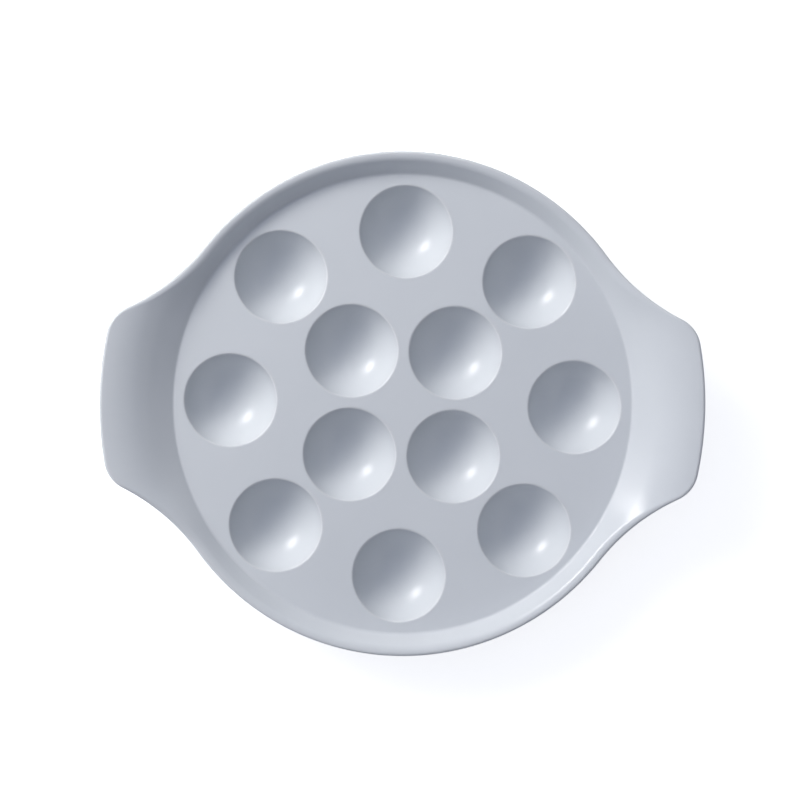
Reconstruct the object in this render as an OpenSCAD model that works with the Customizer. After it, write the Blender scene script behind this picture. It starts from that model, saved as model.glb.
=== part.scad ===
// Escargot plate: a round dish of glazed porcelain with two ears and twelve snail wells.
// The table is z = 0, the plate's centre is the origin, +X points to the right ear and +Y to the back.

/* [Wells] */
// Diameter of a well's mouth, where the bowl would meet the floor's face
well_d = 40; // [36:0.5:44]
// Depth of a well below the floor's face
well_depth = 14; // [11:0.5:17]
// Rounding of a well's mouth
mouth_round = 1; // [0.5:0.1:1.5]
// Flat land between the mouth's rounding and the well's outer face
collar_land = 0.3; // [0.2:0.1:0.5]
// Thickness of the bowl's bottom, above the foot
base_t = 3.2; // [2.5:0.1:5]
// Diameter of the flat unglazed foot under a well
foot_d = 15.4; // [10:0.2:20]

/* [Layout] */
// Floor left between two neighbouring inner wells
inner_web = 5; // [4:0.1:8]
// Floor left between an inner well and the outer well beyond it
middle_web = 4.4; // [3.6:0.1:8]
// Floor left between a diagonal outer well and the wall
edge_web = 3.6; // [3.2:0.1:6]
// How much nearer to the centre the four outer wells on the plate's axes stand
axis_inset = 1.6; // [0:0.1:3]

/* [Floor] */
// Thickness of the floor between the wells
floor_t = 5; // [3.5:0.5:6]
// Flat land between the wall's fillet and the floor's edge
seam_land = 0.5; // [0.3:0.1:0.8]

/* [Wall] */
// Slope of the round rim's wall above level, in degrees
wall_slope = 48; // [40:1:60]
// Fillet where the floor turns up into the wall
wall_fillet = 2; // [1:0.1:2.5]
// How far out the straight part of the round rim's wall runs
wall_run = 4.7; // [3:0.1:8]
// Thickness of the wall, the lip and the ears
lip_t = 3.6; // [3:0.1:5]
// Inside radius of the bend below the lip
rim_bend = 1; // [0.3:0.1:3]
// Rounding of the lip's upper and lower edge
lip_round = 1.1; // [0.5:0.1:1.4]

/* [Ears] */
// How far an ear's tip reaches past the round rim
ear_reach = 21; // [16:0.5:28]
// Slope of the wall below an ear, in degrees
ear_slope = 34; // [28:1:44]
// How far out the straight part of the wall runs below an ear
ear_run = 9.5; // [7:0.5:10.5]
// Radius of the sweep from that wall out to an ear's lip
ear_sweep_r = 46; // [36:1:70]
// How soon the wall takes on an ear's shape as the outline reaches out, evenly at 1
ear_ease = 4; // [1:0.5:5]
// Radius of an ear's outer edge
ear_edge_r = 150; // [110:1:200]
// Radius of an ear's two corners
ear_corner_r = 15; // [8:0.5:18]
// Distance between the centres of an ear's two corners
ear_grip_w = 50.6; // [40:0.2:60]
// Radius of the hollow flank between a corner and the round rim
ear_flank_r = 93; // [60:1:120]

/* [Hidden] */
$fn = 96;
glaze = [0.86, 0.88, 0.91];
overlap = 1;           // how far a cutting solid runs past what it cuts
bowl_steps = 18;       // straight steps along the arc of a bowl
bend_steps = 8;        // straight steps along the sweep and the bend of the wall
lip_steps = 4;         // straight steps along the rounding of a lip's edge
fillet_steps = 5;      // straight steps along the arc of a small rounding
edge_steps = 6;        // sections of an ear from its middle to its corner
corner_steps = 8;      // sections of an ear round its corner
flank_steps = 10;      // sections of an ear along its flank

// The bowl of a well is part of a sphere, and so is its outside
well_r = well_d / 2;
bowl_r = (well_r * well_r + well_depth * well_depth) / (2 * well_depth);
floor_z = well_depth + base_t;
bowl_z = base_t + bowl_r;
shell_r = sqrt(bowl_z * bowl_z + foot_d * foot_d / 4);
mouth_z = floor_z - mouth_round;
mouth_r = sqrt(pow(bowl_r + mouth_round, 2) - pow(bowl_z - mouth_z, 2));
collar_r = mouth_r + collar_land;
under_z = floor_z - floor_t;

// The wells stand on the diagonals and, a little nearer in, on the axes
inner_ring_r = (well_d + inner_web) / sqrt(2);
diagonal_ring_r = inner_ring_r + well_d + middle_web;
axis_ring_r = diagonal_ring_r - axis_inset;
inner_places = [for (i = [0 : 3]) polar(inner_ring_r, 45 + 90 * i)];
outer_places = [for (i = [0 : 7]) polar(i % 2 == 0 ? axis_ring_r : diagonal_ring_r, 45 * i)];

// The wall rises from the floor in a fillet and bends over to a level lip
floor_r = diagonal_ring_r + well_r + edge_web;
fillet_r = floor_r - wall_fillet * tan(wall_slope / 2);
seam_r = fillet_r - seam_land;
lip_bend = rim_bend + lip_t;
rim_r = floor_r + wall_run + lip_bend * sin(wall_slope) + lip_round;

// An ear's outline is four arcs that touch: its edge, a corner, a hollow flank and the round rim
tip_x = rim_r + ear_reach;
edge_c = [tip_x - ear_edge_r, 0];
corner_c = [edge_c.x + sqrt(pow(ear_edge_r - ear_corner_r, 2) - pow(ear_grip_w / 2, 2)), ear_grip_w / 2];
flank_c = circles_cross([0, 0], rim_r + ear_flank_r, corner_c, ear_corner_r + ear_flank_r);
edge_end = bearing(corner_c - edge_c, edge_c, ear_edge_r);
corner_end = bearing(flank_c - corner_c, corner_c, ear_corner_r);
flank_end = atan2(flank_c.y, flank_c.x);
half_ear = concat(
    steps(0, edge_end, edge_steps),
    steps(edge_end, corner_end, corner_steps),
    steps(corner_end, flank_end, flank_steps),
    [flank_end]
);
ear_angles = concat([for (i = [len(half_ear) - 1 : -1 : 1]) -half_ear[i]], half_ear);

// An ear's flats touch the floor's round edge from outside
widest_step = max(edge_end / edge_steps, (flank_end - corner_end) / flank_steps);
ear_seam_r = seam_r / cos(widest_step / 2);

// A point at that radius and angle
function polar(r, a) = [r * cos(a), r * sin(a)];

// The first n of the n + 1 even steps between two angles
function steps(from, to, n) = [for (i = [0 : n - 1]) from + (to - from) * i / n];

// Points along an arc, both ends included
function arc(centre, r, from, to, n) = [for (i = [0 : n]) centre + polar(r, from + (to - from) * i / n)];

// The point to the left of the line between two circles' centres where the circles cross
function circles_cross(c1, r1, c2, r2) =
    let (
        gap = norm(c2 - c1),
        along = (c2 - c1) / gap,
        a = (r1 * r1 - r2 * r2 + gap * gap) / (2 * gap),
        h = sqrt(r1 * r1 - a * a)
    )
    c1 + a * along + h * [-along.y, along.x];

// Angle, seen from the origin, of the point of a circle that lies in a given direction
function bearing(direction, centre, r) =
    let (p = centre + r * direction / norm(direction))
    atan2(p.y, p.x);

// Distance from the origin to a circle along a ray: to its far side, or to its near side where far is -1
function ray_to_circle(a, centre, r, far) =
    let (b = centre * polar(1, a))
    b + far * sqrt(r * r - centre * centre + b * b);

// Outer radius of the plate at an angle from an ear's middle
function reach(a) =
    let (t = abs(a))
    t < edge_end ? ray_to_circle(t, edge_c, ear_edge_r, 1)
    : t < corner_end ? ray_to_circle(t, corner_c, ear_corner_r, 1)
    : t < flank_end ? ray_to_circle(t, flank_c, ear_flank_r, -1)
    : rim_r;

// Section of the wall out to a given radius, from inner_r outwards: up over the lip and back below it
function wall_section(inner_r, outer_r) =
    let (
        ear_share = 1 - pow(1 - (outer_r - rim_r) / ear_reach, ear_ease),
        slope = wall_slope + (ear_slope - wall_slope) * ear_share,
        run = wall_run + (ear_run - wall_run) * ear_share,
        run_r = fillet_r + wall_fillet * tan(slope / 2) + run,
        sweep_c = [run_r, floor_z + run * tan(slope)] - polar(ear_sweep_r, 90 + slope),
        turn = asin((sweep_c.x - outer_r + lip_round) / (ear_sweep_r - lip_bend)),
        lip_c = sweep_c + polar(ear_sweep_r - lip_bend, 90 + turn),
        upper_c = lip_c + [0, lip_bend - lip_round],
        lower_c = lip_c + [0, lip_bend - lip_t + lip_round],
        edge_step = 90 / lip_steps,
        outside = sweep_c + polar(ear_sweep_r - lip_t, 90 + slope),
        heel_r = max(outside.x - (outside.y - under_z) / tan(slope), inner_r + seam_land)
    )
    concat(
        [[inner_r, floor_z]],
        arc([fillet_r, floor_z + wall_fillet], wall_fillet, -90, slope - 90, fillet_steps),
        [for (i = [0 : bend_steps]) over_the_lip(slope * (1 - i / bend_steps), turn, sweep_c, lip_c, 0)],
        arc(upper_c, lip_round, 90 - edge_step, 0, lip_steps - 1),
        arc(lower_c, lip_round, 0, edge_step - 90, lip_steps - 1),
        [for (i = [0 : bend_steps]) over_the_lip(slope * i / bend_steps, turn, sweep_c, lip_c, lip_t)],
        [[heel_r, under_z], [inner_r, under_z]]
    );

// Point of the wall where it slopes at a: on the sweep, or past the turn on the lip's bend
function over_the_lip(a, turn, sweep_c, lip_c, depth) =
    a > turn ? sweep_c + polar(ear_sweep_r - depth, 90 + a)
    : lip_c + polar(lip_bend - depth, 90 + a);

// A closed skin over sections that have as many points each, turned to their angles
module loft(sections, angles) {
    n = len(sections[0]);
    last = len(sections) - 1;
    points = [
        for (i = [0 : last]) for (p = sections[i])
            [p.x * cos(angles[i]), p.x * sin(angles[i]), p.y]
    ];
    sides = [
        for (i = [0 : last - 1]) for (j = [0 : n - 1])
            let (a = i * n + j, b = i * n + (j + 1) % n)
            each [[a, b, b + n], [a, b + n, a + n]]
    ];
    caps = [[for (j = [n - 1 : -1 : 0]) j], [for (j = [0 : n - 1]) last * n + j]];
    polyhedron(points, concat(sides, caps), convexity = 8);
}

// A quarter of the floor with the holes that the wells fill, from its first edge
module floor_quarter(start) {
    color(glaze)
        difference() {
            rotate([0, 0, start])
                rotate_extrude(angle = 90)
                    translate([0, under_z])
                        square([seam_r, floor_t]);
            for (p = concat(outer_places, inner_places))
                translate([p.x, p.y, under_z - overlap])
                    cylinder(r = collar_r, h = floor_t + 2 * overlap);
        }
}

// A bowl with a rounded mouth, a collar that fills the floor's hole and a flat foot
module well(place) {
    bowl_c = [0, bowl_z];
    mouth_end = acos(-mouth_r / (bowl_r + mouth_round));
    profile = concat(
        arc(bowl_c, bowl_r, -90, mouth_end - 180, bowl_steps),
        arc([mouth_r, mouth_z], mouth_round, mouth_end, 90, fillet_steps),
        [[collar_r, floor_z]],
        arc(bowl_c, shell_r, -acos(collar_r / shell_r), -acos(foot_d / 2 / shell_r), bowl_steps),
        [[0, 0]]
    );
    color(glaze)
        translate([place.x, place.y, 0])
            rotate_extrude()
                polygon(profile);
}

// The round stretch of wall between two ears, from the end of one ear's flank
module rim(start) {
    color(glaze)
        rotate([0, 0, start + flank_end])
            rotate_extrude(angle = 180 - 2 * flank_end)
                polygon(wall_section(seam_r, rim_r));
}

// An ear with its stretch of wall, turned to its side of the plate
module ear(turn) {
    color(glaze)
        rotate([0, 0, turn])
            loft([for (a = ear_angles) wall_section(ear_seam_r, reach(a))], ear_angles);
}

floor_quarter(0);  // floor_back_right
floor_quarter(90);  // floor_back_left
floor_quarter(180);  // floor_front_left
floor_quarter(270);  // floor_front_right
rim(180);  // front_rim
rim(0);  // back_rim
ear(180);  // left_ear
ear(0);  // right_ear
for (i = [1 : len(outer_places)])
    well(outer_places[i - 1]);
for (i = [1 : len(inner_places)])
    well(inner_places[i - 1]);
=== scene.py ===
import math

import bpy
import numpy as np
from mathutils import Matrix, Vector
from mathutils.geometry import delaunay_2d_cdt


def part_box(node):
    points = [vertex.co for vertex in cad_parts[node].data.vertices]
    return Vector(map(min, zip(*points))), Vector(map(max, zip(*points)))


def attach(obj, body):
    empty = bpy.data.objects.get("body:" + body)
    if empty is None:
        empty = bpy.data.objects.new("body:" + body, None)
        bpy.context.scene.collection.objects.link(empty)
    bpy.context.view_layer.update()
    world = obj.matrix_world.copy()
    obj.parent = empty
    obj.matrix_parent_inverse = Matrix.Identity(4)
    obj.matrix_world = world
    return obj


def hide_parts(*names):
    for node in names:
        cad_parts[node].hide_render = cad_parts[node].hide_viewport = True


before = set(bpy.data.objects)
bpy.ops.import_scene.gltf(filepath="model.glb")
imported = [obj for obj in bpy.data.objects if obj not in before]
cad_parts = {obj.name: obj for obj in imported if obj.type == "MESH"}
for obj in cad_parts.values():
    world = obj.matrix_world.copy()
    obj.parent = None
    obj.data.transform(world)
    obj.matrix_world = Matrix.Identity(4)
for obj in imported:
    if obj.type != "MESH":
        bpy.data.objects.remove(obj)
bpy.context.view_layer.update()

MM = 0.001

# Sizes that the frame gives
floor_nodes = sorted(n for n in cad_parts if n.startswith("floor"))
floor_boxes = [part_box(n) for n in floor_nodes]
well_low, well_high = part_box("inner_well_1")
FLOOR_Z = max(high.z for _, high in floor_boxes)
UNDER_Z = min(low.z for low, _ in floor_boxes)
SEAM_R = max(high.x for _, high in floor_boxes)
COLLAR_R = (well_high.x - well_low.x) / 2

# Sizes that the boxes of the solids don't show
WELL_R = 20 * MM
WELL_BASE_T = 3.2 * MM
MOUTH_ROUND = 1 * MM
COLLAR_LAND = 0.3 * MM
FOOT_R = 7.7 * MM
WALL_SLOPE = 48
WALL_FILLET = 2 * MM
WALL_RUN = 4.7 * MM
SEAM_LAND = 0.5 * MM
LIP_T = 3.6 * MM
LIP_ROUND = 1.1 * MM
RIM_BEND = 1 * MM
EAR_REACH = 21 * MM
EAR_SLOPE = 34
EAR_RUN = 9.5 * MM
EAR_SWEEP_R = 46 * MM
EAR_EASE = 4
EAR_EDGE_R = 150 * MM
EAR_CORNER_R = 15 * MM
EAR_GRIP_W = 50.6 * MM
EAR_FLANK_R = 93 * MM

# Roundings of the underside, which the glaze softens
UNDER_FILLET = 0.8 * MM
UNDER_LAND = 0.1 * MM
SHOULDER_R = 5 * MM
HEEL_ROUND = 1.2 * MM

# Steps along the arcs
WELL_SEGMENTS = 96
BOWL_STEPS = 24
ROUND_STEPS = 10
BEND_STEPS = 24
RIM_STEPS = 80
EAR_STEPS = (14, 16, 24)
SHARP_ANGLE = math.radians(30)

# How the floor's faces are filled: over the whole hull, and telling apart points this far from each other
FILL_HULL = 0
FILL_TOLERANCE = 1e-9

# Glaze, in linear colours: clouds of tone, the thin glaze on edges, gloss and orange peel
CLOUD_SCALE, CLOUD_DETAIL = 26.0, 3.0
CLOUD_SPAN = (0.3, 0.7)
GLAZE_TONES = ((0.758, 0.788, 0.810, 1), (0.784, 0.813, 0.834, 1))
THIN_GLAZE = (0.815, 0.81, 0.795, 1)
THIN_SHARE = 0.25
GLAZE_ROUGHNESS = (0.10, 0.16)
GLAZE_IOR = 1.5
GLAZE_SPECULAR = 0.3
PEEL_SCALE, PEEL_DETAIL = 320.0, 2.0
PEEL_STRENGTH = 0.25
PEEL_HEIGHT = 0.02 * MM

# Bare porcelain of the feet: fine grain and no gloss
GRAIN_SCALE, GRAIN_DETAIL = 1400.0, 4.0
GRAIN_SPAN = (0.35, 0.65)
BARE_TONES = ((0.60, 0.575, 0.535, 1), (0.735, 0.715, 0.68, 1))
BARE_ROUGHNESS = 0.8
GRAIN_STRENGTH = 0.5
GRAIN_HEIGHT = 0.08 * MM

# White table, and the glow that it has only where it is looked at or mirrored
TABLE_COLOUR = (0.9, 0.9, 0.9, 1)
TABLE_ROUGHNESS = 0.9
TABLE_GLOW = (0.7, 0.7, 0.7, 1)
TABLE_SIZE = 60.0
NO_LIGHT = (0, 0, 0, 1)

# Soft boxes as (name, azimuth, elevation, (width, height), power), all at one distance and of one colour
LAMPS = (
    ("key", 140, 31, (0.95, 0.7), 4.4),
    ("key_skirt", 138, 31, (1.8, 1.0), 8.6),
)
LAMP_DISTANCE = 1.3
LAMP_COLOUR = (1.0, 0.98, 0.958)
# How much brighter in its middle a soft box is than an even lamp of the same power
LAMP_MIDDLE = 4.4
LAMP_CENTRE = (0.5, 0.5, 0)
LAMP_EDGE = 0.5

# The room's light, and the sides of it at the front right that lie below sloping planes, as (azimuth, rise)
ROOM = (0.348, 0.372, 0.446, 1)
HORIZON = (0.60, 0.63, 0.66, 1)
HORIZON_FADE = (0.02, 0.14)
BACKDROP = (0.9, 0.9, 0.9, 1)
SHADE = (0.03, 0.03, 0.035, 1)
SHADE_PLANE = (-40, 1.2)
SCREEN = (1.0, 1.0, 1.0, 1)
SCREEN_TOP = (-25, 0.88)
SCREEN_SIDE = (11, 1.5)
PLANE_FADE = (-0.02, 0.02)

# The photograph: its size, and where the plate stands in it
PHOTO_PX = 800
EAR_SPAN_PX = 606
CENTRE_PX = (402.4, 403.6)
PHOTO_TURN = 1.2
CAMERA_HEIGHT = 1.2
CAMERA_FAR = 100
SENSOR = 36.0

# The bowl of a well and its outside are parts of two spheres about one centre
WELL_DEPTH = FLOOR_Z - WELL_BASE_T
BOWL_R = (WELL_R ** 2 + WELL_DEPTH ** 2) / (2 * WELL_DEPTH)
BOWL_Z = FLOOR_Z - WELL_DEPTH + BOWL_R
SHELL_R = math.hypot(BOWL_Z, FOOT_R)
MOUTH_R = COLLAR_R - COLLAR_LAND

# The round rim's wall rises from the floor's corner and rolls over to its lip
LIP_BEND = RIM_BEND + LIP_T
SIN_SLOPE = math.sin(math.radians(WALL_SLOPE))
HALF_TAN = math.tan(math.radians(WALL_SLOPE / 2))
FLOOR_R = SEAM_R + SEAM_LAND + WALL_FILLET * HALF_TAN
RIM_R = FLOOR_R + WALL_RUN + LIP_BEND * SIN_SLOPE + LIP_ROUND
TIP_R = RIM_R + EAR_REACH


def arc(centre, radius, start, end, steps):
    """Points along an arc in a plane, both ends included; the angles are in degrees."""
    angles = np.radians(np.linspace(start, end, steps + 1))
    return np.array(centre) + radius * np.column_stack((np.cos(angles), np.sin(angles)))


def from_up(angle):
    """Unit vector in a section, leaning inward from straight up by an angle in degrees."""
    return np.array((-math.sin(math.radians(angle)), math.cos(math.radians(angle))))


def angle_of(point):
    """Direction of a point seen from the origin, in degrees."""
    return math.degrees(math.atan2(point[1], point[0]))


def circles_cross(r1, centre, r2):
    """Where a circle about the origin crosses another circle, to the left of the line between the centres."""
    gap = np.linalg.norm(centre)
    along = centre / gap
    a = (r1 ** 2 - r2 ** 2 + gap ** 2) / (2 * gap)
    h = math.sqrt(r1 ** 2 - a ** 2)
    return a * along + h * np.array((-along[1], along[0]))


def toward(point, target, distance):
    """The point that lies at a distance from one point in the direction of another."""
    step = target - point
    return point + distance * step / np.linalg.norm(step)


# An ear's outline is four arcs that touch: its edge, a corner, a hollow flank and the round rim
edge_c = np.array((TIP_R - EAR_EDGE_R, 0.0))
corner_x = edge_c[0] + math.sqrt((EAR_EDGE_R - EAR_CORNER_R) ** 2 - (EAR_GRIP_W / 2) ** 2)
corner_c = np.array((corner_x, EAR_GRIP_W / 2))
flank_c = circles_cross(RIM_R + EAR_FLANK_R, corner_c, EAR_CORNER_R + EAR_FLANK_R)
EDGE_END = angle_of(toward(edge_c, corner_c, EAR_EDGE_R))
CORNER_END = angle_of(toward(corner_c, flank_c, EAR_CORNER_R))
FLANK_END = angle_of(flank_c)


def ray_to_circle(angle, centre, radius, side):
    """Distance from the origin along a ray to a circle's far side, or to its near side where side is -1."""
    b = centre[0] * math.cos(math.radians(angle)) + centre[1] * math.sin(math.radians(angle))
    return b + side * math.sqrt(radius ** 2 - centre @ centre + b ** 2)


def reach(angle):
    """Outer radius of the plate at an angle round it, in degrees from +X."""
    turn = abs((angle + 90) % 180 - 90)
    if turn < EDGE_END:
        return ray_to_circle(turn, edge_c, EAR_EDGE_R, 1)
    if turn < CORNER_END:
        return ray_to_circle(turn, corner_c, EAR_CORNER_R, 1)
    if turn < FLANK_END:
        return ray_to_circle(turn, flank_c, EAR_FLANK_R, -1)
    return RIM_R


def wall_section(outer_r):
    """Section of the wall as (radius, height), from the floor over the lip and back to the underside."""
    ear_share = 1 - (1 - (outer_r - RIM_R) / EAR_REACH) ** EAR_EASE
    slope = WALL_SLOPE + (EAR_SLOPE - WALL_SLOPE) * ear_share
    run = WALL_RUN + (EAR_RUN - WALL_RUN) * ear_share
    rise = math.tan(math.radians(slope))
    half_rise = math.tan(math.radians(slope / 2))
    run_r = SEAM_R + SEAM_LAND + WALL_FILLET * half_rise + run
    sweep_c = np.array((run_r, FLOOR_Z + run * rise)) - EAR_SWEEP_R * from_up(slope)
    turn = math.degrees(math.asin((sweep_c[0] - outer_r + LIP_ROUND) / (EAR_SWEEP_R - LIP_BEND)))
    lip_c = sweep_c + (EAR_SWEEP_R - LIP_BEND) * from_up(turn)
    outside = sweep_c + (EAR_SWEEP_R - LIP_T) * from_up(slope)
    heel_r = max(outside[0] - (outside[1] - UNDER_Z) / rise, SEAM_R + SEAM_LAND)
    heel_slope = angle_of(outside - (heel_r, UNDER_Z))
    heel_c = (heel_r - HEEL_ROUND * math.tan(math.radians(heel_slope / 2)), UNDER_Z + HEEL_ROUND)

    def over_the_lip(depth):
        """Points at a depth below the wall's skin, from the end of its straight run to the lip."""
        sweep_r, bend_r = EAR_SWEEP_R - depth, LIP_BEND - depth
        return np.array([
            sweep_c + sweep_r * from_up(a) if a > turn else lip_c + bend_r * from_up(a)
            for a in np.linspace(slope, 0, BEND_STEPS + 1)
        ])

    return np.vstack((
        [(SEAM_R, FLOOR_Z)],
        arc((SEAM_R + SEAM_LAND, FLOOR_Z + WALL_FILLET), WALL_FILLET, -90, slope - 90, ROUND_STEPS),
        over_the_lip(0),
        arc(lip_c + np.array((0, LIP_BEND - LIP_ROUND)), LIP_ROUND, 90, 0, ROUND_STEPS)[1:],
        arc(lip_c + np.array((0, LIP_BEND - LIP_T + LIP_ROUND)), LIP_ROUND, 0, -90, ROUND_STEPS)[:-1],
        over_the_lip(LIP_T)[::-1],
        arc(heel_c, HEEL_ROUND, heel_slope - 90, -90, ROUND_STEPS),
        [(SEAM_R, UNDER_Z)],
    ))


def ear_angles():
    """Angles of an ear's sections, from its middle to where its flank meets the round rim, mirrored."""
    half = np.concatenate((
        np.linspace(0, EDGE_END, EAR_STEPS[0], endpoint=False),
        np.linspace(EDGE_END, CORNER_END, EAR_STEPS[1], endpoint=False),
        np.linspace(CORNER_END, FLANK_END, EAR_STEPS[2] + 1),
    ))
    return np.concatenate((-half[:0:-1], half))


def make_piece(name, nodes, points, faces, materials):
    """A smooth mesh that stands for nodes of the solids."""
    mesh = bpy.data.meshes.new(name + "_glazed")
    mesh.from_pydata([tuple(p) for p in points], [], faces)
    for material in materials:
        mesh.materials.append(material)
    mesh.shade_smooth()
    piece = bpy.data.objects.new(mesh.name, mesh)
    bpy.context.scene.collection.objects.link(piece)
    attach(piece, "root")
    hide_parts(*nodes)
    return piece


def set_edge_wear(piece, values):
    """Stores how thin the glaze has run at each point, from 0 to 1."""
    attribute = piece.data.attributes.new("glaze_thin", "FLOAT", "POINT")
    attribute.data.foreach_set("value", np.asarray(values, np.float32))


def grid_faces(rows, columns):
    """Quads between the points of neighbouring rows; each row is a closed loop."""
    return [
        (a + j, a + (j + 1) % columns, a + columns + (j + 1) % columns, a + columns + j)
        for a in range(0, (rows - 1) * columns, columns) for j in range(columns)
    ]


def make_wall(materials):
    """The two stretches of rim and the two ears, cut from one ring so that they shade as one skin."""
    ear = ear_angles()
    rim = np.linspace(FLANK_END, 180 - FLANK_END, RIM_STEPS + 1)
    zones = (("right_ear", ear), ("back_rim", rim), ("left_ear", ear + 180), ("front_rim", rim + 180))
    ring = np.concatenate([angles[:-1] for _, angles in zones])
    sections = np.array([wall_section(reach(a)) for a in ring])
    turn = np.radians(ring)[:, None]
    radii, heights = sections[..., 0], sections[..., 1]
    grid = np.stack((radii * np.cos(turn), radii * np.sin(turn), heights), axis=-1)
    across = np.roll(grid, -1, axis=1) - np.roll(grid, 1, axis=1)
    along = np.roll(grid, -1, axis=0) - np.roll(grid, 1, axis=0)
    normals = np.cross(across, along)
    normals /= np.linalg.norm(normals, axis=-1, keepdims=True)
    normals[:, 0] = (0, 0, 1)
    normals[:, -1] = (0, 0, -1)
    columns = grid.shape[1]
    lip = 1 + (ROUND_STEPS + 1) + BEND_STEPS + ROUND_STEPS // 2
    thin = np.exp(-((np.arange(columns) - lip) / ROUND_STEPS) ** 2)
    start = 0
    for node, angles in zones:
        rows = len(angles)
        pick = np.arange(start, start + rows) % len(ring)
        start += rows - 1
        last = (rows - 1) * columns
        sides = grid_faces(rows, columns)
        caps = [tuple(range(columns - 1, -1, -1)), tuple(range(last, last + columns))]
        piece = make_piece(node, [node], grid[pick].reshape(-1, 3), sides + caps, materials)
        set_edge_wear(piece, np.tile(thin, rows))
        shade_as(piece, normals[pick].reshape(-1, 3), columns)
    return grid[:, 0], grid[:, -1]


def shade_as(piece, normals, columns):
    """Gives the skin the normals of the whole ring, and leaves the hidden faces flat."""
    mesh = piece.data
    corner_normals = []
    for face in mesh.polygons:
        places = [v % columns for v in face.vertices]
        hidden = len(places) > 4 or {0, columns - 1} <= set(places)
        corner_normals += [face.normal[:] if hidden else tuple(normals[v]) for v in face.vertices]
    mesh.normals_split_custom_set(corner_normals)


def well_profile():
    """Section of a well as (radius, height), from its bowl's bottom over the mouth, and on to its foot."""
    mouth_z = FLOOR_Z - MOUTH_ROUND
    mouth_end = math.degrees(math.acos(-MOUTH_R / (BOWL_R + MOUTH_ROUND)))
    shoulder_drop = math.sqrt((SHELL_R - SHOULDER_R) ** 2 - (COLLAR_R - SHOULDER_R) ** 2)
    shoulder_end = -angle_of((COLLAR_R - SHOULDER_R, shoulder_drop))
    foot_end = -math.degrees(math.acos(FOOT_R / SHELL_R))
    top = np.vstack((
        arc((0, BOWL_Z), BOWL_R, -90, mouth_end - 180, BOWL_STEPS)[1:-1],
        arc((MOUTH_R, mouth_z), MOUTH_ROUND, mouth_end, 90, ROUND_STEPS),
        [(COLLAR_R, FLOOR_Z)],
    ))
    under = np.vstack((
        [(COLLAR_R + UNDER_FILLET + UNDER_LAND, UNDER_Z)],
        arc((COLLAR_R + UNDER_FILLET, UNDER_Z - UNDER_FILLET), UNDER_FILLET, 90, 180, ROUND_STEPS),
        arc((COLLAR_R - SHOULDER_R, BOWL_Z - shoulder_drop), SHOULDER_R, 0, shoulder_end, ROUND_STEPS),
        arc((0, BOWL_Z), SHELL_R, shoulder_end, foot_end, BOWL_STEPS)[1:],
    ))
    return top, under


def make_well(node, materials):
    """A bowl with a rounded mouth, a domed outside and a bare foot; returns its loops in the floor's faces."""
    low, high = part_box(node)
    centre = np.array(((low.x + high.x) / 2, (low.y + high.y) / 2))
    top, under = well_profile()
    profile = np.vstack((top, under))
    turn = np.linspace(0, 2 * math.pi, WELL_SEGMENTS, endpoint=False)
    circle = np.column_stack((np.cos(turn), np.sin(turn)))
    rings = [np.column_stack((centre + r * circle, np.full(WELL_SEGMENTS, z))) for r, z in profile]
    first = len(profile) * WELL_SEGMENTS
    points = np.vstack(rings + [[(*centre, FLOOR_Z - WELL_DEPTH)], [(*centre, 0)]])
    faces = [f[::-1] for f in grid_faces(len(profile), WELL_SEGMENTS)]
    last = first - WELL_SEGMENTS
    for j in range(WELL_SEGMENTS):
        k = (j + 1) % WELL_SEGMENTS
        faces.append((j, k, first))
    for j in range(WELL_SEGMENTS):
        k = (j + 1) % WELL_SEGMENTS
        faces.append((last + k, last + j, first + 1))
    piece = make_piece(node, [node], points, faces, materials)
    piece.data.set_sharp_from_angle(angle=SHARP_ANGLE)
    for face in piece.data.polygons[-WELL_SEGMENTS:]:
        face.material_index = 1
        face.use_smooth = False
    mouth = BOWL_STEPS - 1 + ROUND_STEPS // 2
    thin = np.exp(-((np.arange(len(profile)) - mouth) / (ROUND_STEPS / 2)) ** 2)
    set_edge_wear(piece, np.append(np.repeat(thin, WELL_SEGMENTS), (0, 0)))
    return rings[len(top) - 1], rings[len(top)]


def flat_face(loops):
    """Triangles that fill the first loop round the others, which are holes, as places among all the points."""
    points = [Vector(p[:2]) for loop in loops for p in loop]
    loop_of = np.repeat(range(len(loops)), [len(loop) for loop in loops])
    edges, start = [], 0
    for loop in loops:
        edges += [(start + i, start + (i + 1) % len(loop)) for i in range(len(loop))]
        start += len(loop)
    _, _, triangles, origins, _, _ = delaunay_2d_cdt(points, edges, [], FILL_HULL, FILL_TOLERANCE)
    corners = [tuple(origins[v][0] for v in triangle) for triangle in triangles]
    return [t for t in corners if loop_of[t[0]] == 0 or len({loop_of[v] for v in t}) > 1]


def make_floor(seams, wells, materials):
    """The floor between the wells, with hidden sides that meet the wells and the wall."""
    top_loops = [seams[0]] + [w[0] for w in wells]
    under_loops = [seams[1]] + [w[1] for w in wells]
    points = np.vstack(top_loops + under_loops)
    half = len(points) // 2
    faces = flat_face(top_loops)
    faces += [tuple(half + v for v in t[::-1]) for t in flat_face(under_loops)]
    start = 0
    for k, loop in enumerate(top_loops):
        n = len(loop)
        for i in range(n):
            a, b = start + i, start + (i + 1) % n
            side = (a, half + a, half + b, b)
            faces.append(side if k == 0 else side[::-1])
        start += n
    piece = make_piece("floor", floor_nodes, points, faces, materials)
    piece.data.set_sharp_from_angle(angle=SHARP_ANGLE)


def new_material(name):
    """A node material with its shader and its output, ready to be wired."""
    material = bpy.data.materials.new(name)
    material.use_nodes = True
    tree = material.node_tree
    return material, tree, tree.nodes["Principled BSDF"]


def add(tree, kind, **values):
    """A node with its settings and the values of its inputs."""
    node = tree.nodes.new(kind)
    for key, value in values.items():
        if hasattr(node, key):
            setattr(node, key, value)
        else:
            node.inputs[key.replace("_", " ")].default_value = value
    return node


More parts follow.
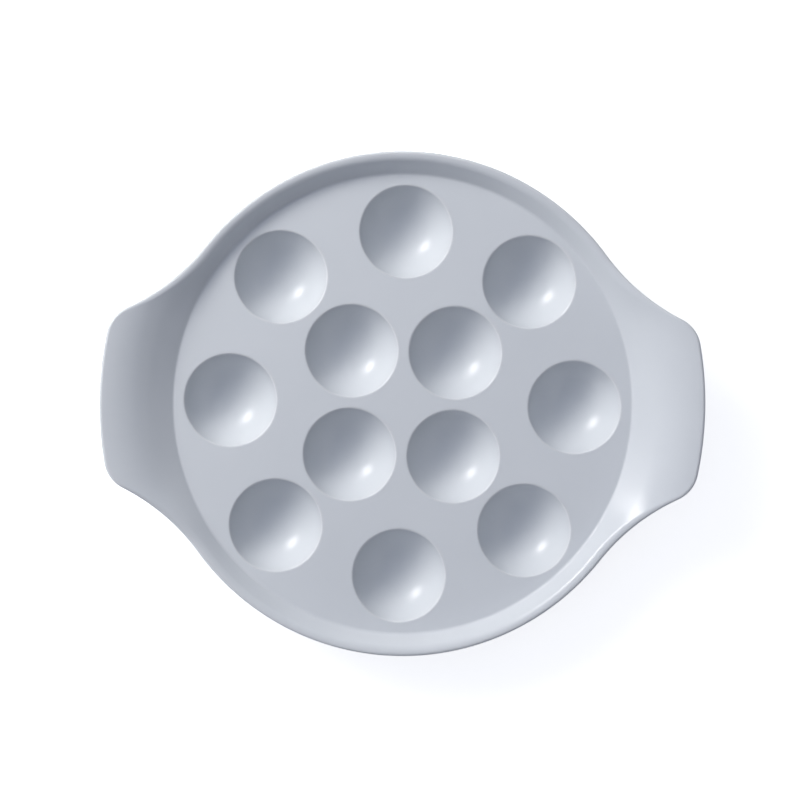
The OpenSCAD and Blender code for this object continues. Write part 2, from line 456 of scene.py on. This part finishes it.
def feed(tree, socket, value):
    """Gives an input a value, or a link where the value is another node's output."""
    if isinstance(value, bpy.types.NodeSocket):
        tree.links.new(value, socket)
    else:
        socket.default_value = value


# Places of the colour sockets of a mix node
MIX_INPUTS = (0, 6, 7)
MIX_OUTPUT = 2


def mix(tree, share, first, second):
    """A colour between two colours, by a share from 0 to 1."""
    node = add(tree, "ShaderNodeMix", data_type="RGBA")
    for place, value in zip(MIX_INPUTS, (share, first, second)):
        feed(tree, node.inputs[place], value)
    return node.outputs[MIX_OUTPUT]


def combine(tree, operation, first, second):
    """One number from two, by an operation."""
    node = add(tree, "ShaderNodeMath", operation=operation)
    feed(tree, node.inputs[0], first)
    feed(tree, node.inputs[1], second)
    return node.outputs[0]


def remap(tree, value, span, ends=(0, 1), kind="LINEAR"):
    """A number carried from one span to another."""
    node = add(tree, "ShaderNodeMapRange", interpolation_type=kind)
    node.inputs["From Min"].default_value, node.inputs["From Max"].default_value = span
    node.inputs["To Min"].default_value, node.inputs["To Max"].default_value = ends
    tree.links.new(value, node.inputs["Value"])
    return node.outputs[0]


def noise(tree, scale, detail):
    """Noise that is fixed to the piece, from 0 to 1."""
    node = add(tree, "ShaderNodeTexNoise", Scale=scale, Detail=detail)
    tree.links.new(tree.nodes.new("ShaderNodeTexCoord").outputs["Object"], node.inputs["Vector"])
    return node.outputs["Fac"]


def tones(tree, value, span, colours):
    """A ramp between two colours over a span of values."""
    node = add(tree, "ShaderNodeValToRGB")
    for element, position, colour in zip(node.color_ramp.elements, span, colours):
        element.position, element.color = position, colour
    tree.links.new(value, node.inputs["Fac"])
    return node.outputs["Color"]


def bump(tree, shader, height, strength, distance):
    """Fine relief in the surface."""
    node = add(tree, "ShaderNodeBump", Strength=strength, Distance=distance)
    tree.links.new(height, node.inputs["Height"])
    tree.links.new(node.outputs["Normal"], shader.inputs["Normal"])


def porcelain_glaze():
    """White porcelain under a clear glaze: faint clouds of tone, thin at the edges, fine orange peel."""
    material, tree, shader = new_material("porcelain_glaze")
    clouds = noise(tree, CLOUD_SCALE, CLOUD_DETAIL)
    tone = tones(tree, clouds, CLOUD_SPAN, GLAZE_TONES)
    thin = add(tree, "ShaderNodeAttribute", attribute_name="glaze_thin").outputs["Fac"]
    colour = mix(tree, combine(tree, "MULTIPLY", thin, THIN_SHARE), tone, THIN_GLAZE)
    feed(tree, shader.inputs["Base Color"], colour)
    feed(tree, shader.inputs["Roughness"], remap(tree, clouds, (0, 1), GLAZE_ROUGHNESS))
    bump(tree, shader, noise(tree, PEEL_SCALE, PEEL_DETAIL), PEEL_STRENGTH, PEEL_HEIGHT)
    shader.inputs["IOR"].default_value = GLAZE_IOR
    shader.inputs["Specular IOR Level"].default_value = GLAZE_SPECULAR
    return material


def bare_porcelain():
    """The unglazed foot: matt, warm white and finely grained."""
    material, tree, shader = new_material("bare_porcelain")
    grain = noise(tree, GRAIN_SCALE, GRAIN_DETAIL)
    feed(tree, shader.inputs["Base Color"], tones(tree, grain, GRAIN_SPAN, BARE_TONES))
    bump(tree, shader, grain, GRAIN_STRENGTH, GRAIN_HEIGHT)
    shader.inputs["Roughness"].default_value = BARE_ROUGHNESS
    return material


def seen_as(tree, lit, seen):
    """One colour as a light, and another where it is looked at, mirrored or seen through glass."""
    path = tree.nodes.new("ShaderNodeLightPath")
    looked_at = path.outputs["Is Camera Ray"]
    for ray in ("Is Glossy Ray", "Is Transmission Ray"):
        looked_at = combine(tree, "MAXIMUM", looked_at, path.outputs[ray])
    return mix(tree, looked_at, lit, seen)


def white_table():
    """A white table that the camera sees as white, with the plate's shadow kept on it."""
    material, tree, shader = new_material("white_table")
    shader.inputs["Base Color"].default_value = TABLE_COLOUR
    shader.inputs["Roughness"].default_value = TABLE_ROUGHNESS
    feed(tree, shader.inputs["Emission Color"], seen_as(tree, NO_LIGHT, TABLE_GLOW))
    shader.inputs["Emission Strength"].default_value = 1
    return material


def make_stage():
    """A plain white table under the plate's feet."""
    s = TABLE_SIZE / 2
    mesh = bpy.data.meshes.new("table")
    mesh.from_pydata([(-s, -s, 0), (s, -s, 0), (s, s, 0), (-s, s, 0)], [], [(0, 1, 2, 3)])
    mesh.materials.append(white_table())
    table = bpy.data.objects.new("table", mesh)
    bpy.context.scene.collection.objects.link(table)


def make_lamp(name, azimuth, elevation, size, power):
    """A soft box that faces the plate, bright in its middle; degrees, azimuth from +X towards +Y."""
    lamp = bpy.data.lights.new(name, "AREA")
    lamp.shape = "RECTANGLE"
    lamp.size, lamp.size_y = size
    lamp.energy = power
    lamp.color = LAMP_COLOUR
    lamp.use_nodes = True
    tree = lamp.node_tree
    off_centre = add(tree, "ShaderNodeVectorMath", operation="DISTANCE")
    off_centre.inputs[1].default_value = LAMP_CENTRE
    feed(tree, off_centre.inputs[0], tree.nodes.new("ShaderNodeNewGeometry").outputs["Parametric"])
    fade = remap(tree, off_centre.outputs["Value"], (0, LAMP_EDGE), (LAMP_MIDDLE, 0), "SMOOTHERSTEP")
    feed(tree, tree.nodes["Emission"].inputs["Strength"], fade)
    holder = bpy.data.objects.new(name, lamp)
    a, e = math.radians(azimuth), math.radians(elevation)
    away = Vector((math.cos(a) * math.cos(e), math.sin(a) * math.cos(e), math.sin(e)))
    holder.location = Vector((0, 0, FLOOR_Z)) + LAMP_DISTANCE * away
    holder.rotation_euler = (-away).to_track_quat("-Z", "Y").to_euler()
    bpy.context.scene.collection.objects.link(holder)


def below_plane(tree, azimuth, rise):
    """Where a direction lies below a plane that rises towards an azimuth, from 0 to 1 with a soft edge."""
    turn = math.radians(azimuth)
    below = add(tree, "ShaderNodeVectorMath", operation="DOT_PRODUCT")
    below.inputs[1].default_value = (rise * math.cos(turn), rise * math.sin(turn), -1)
    feed(tree, below.inputs[0], tree.nodes.new("ShaderNodeTexCoord").outputs["Generated"])
    return remap(tree, below.outputs["Value"], PLANE_FADE, kind="SMOOTHSTEP")


def make_world():
    """A cool room with a dark side, a pale screen in it that only shows in mirrors, and a pale horizon."""
    world = bpy.data.worlds.new("studio")
    world.use_nodes = True
    bpy.context.scene.world = world
    tree = world.node_tree
    colour = mix(tree, below_plane(tree, *SHADE_PLANE), ROOM, SHADE)
    on_screen = combine(tree, "MULTIPLY", below_plane(tree, *SCREEN_TOP), below_plane(tree, *SCREEN_SIDE))
    colour = mix(tree, on_screen, colour, seen_as(tree, SHADE, SCREEN))
    direction = tree.nodes.new("ShaderNodeSeparateXYZ")
    feed(tree, direction.inputs[0], tree.nodes.new("ShaderNodeTexCoord").outputs["Generated"])
    above_horizon = remap(tree, direction.outputs["Z"], HORIZON_FADE, kind="SMOOTHSTEP")
    colour = mix(tree, above_horizon, HORIZON, colour)
    from_camera = tree.nodes.new("ShaderNodeLightPath").outputs["Is Camera Ray"]
    feed(tree, tree.nodes["Background"].inputs["Color"], mix(tree, from_camera, colour, BACKDROP))


def make_camera():
    """Straight above the plate, turned a little, at the photograph's framing."""
    tip_z = wall_section(TIP_R)[:, 1].max() - LIP_ROUND
    camera = bpy.data.cameras.new("camera")
    camera.sensor_width = SENSOR
    camera.lens = SENSOR * EAR_SPAN_PX / PHOTO_PX * (CAMERA_HEIGHT - tip_z) / (2 * TIP_R)
    camera.clip_end = CAMERA_FAR
    holder = bpy.data.objects.new("camera", camera)
    metres_per_px = SENSOR / camera.lens * (CAMERA_HEIGHT - FLOOR_Z) / PHOTO_PX
    turn = math.radians(PHOTO_TURN)
    right = (PHOTO_PX / 2 - CENTRE_PX[0]) * metres_per_px
    up = (CENTRE_PX[1] - PHOTO_PX / 2) * metres_per_px
    x = right * math.cos(turn) - up * math.sin(turn)
    y = right * math.sin(turn) + up * math.cos(turn)
    holder.location = (x, y, CAMERA_HEIGHT)
    holder.rotation_euler = (0, 0, turn)
    bpy.context.scene.collection.objects.link(holder)
    bpy.context.scene.camera = holder


glaze, bare = porcelain_glaze(), bare_porcelain()
seams = make_wall([glaze])
well_nodes = sorted(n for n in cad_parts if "_well_" in n)
wells = [make_well(n, [glaze, bare]) for n in well_nodes]
make_floor(seams, wells, [glaze])

make_stage()
make_world()
for lamp in LAMPS:
    make_lamp(*lamp)
make_camera()
bpy.context.scene.view_settings.view_transform = "Standard"
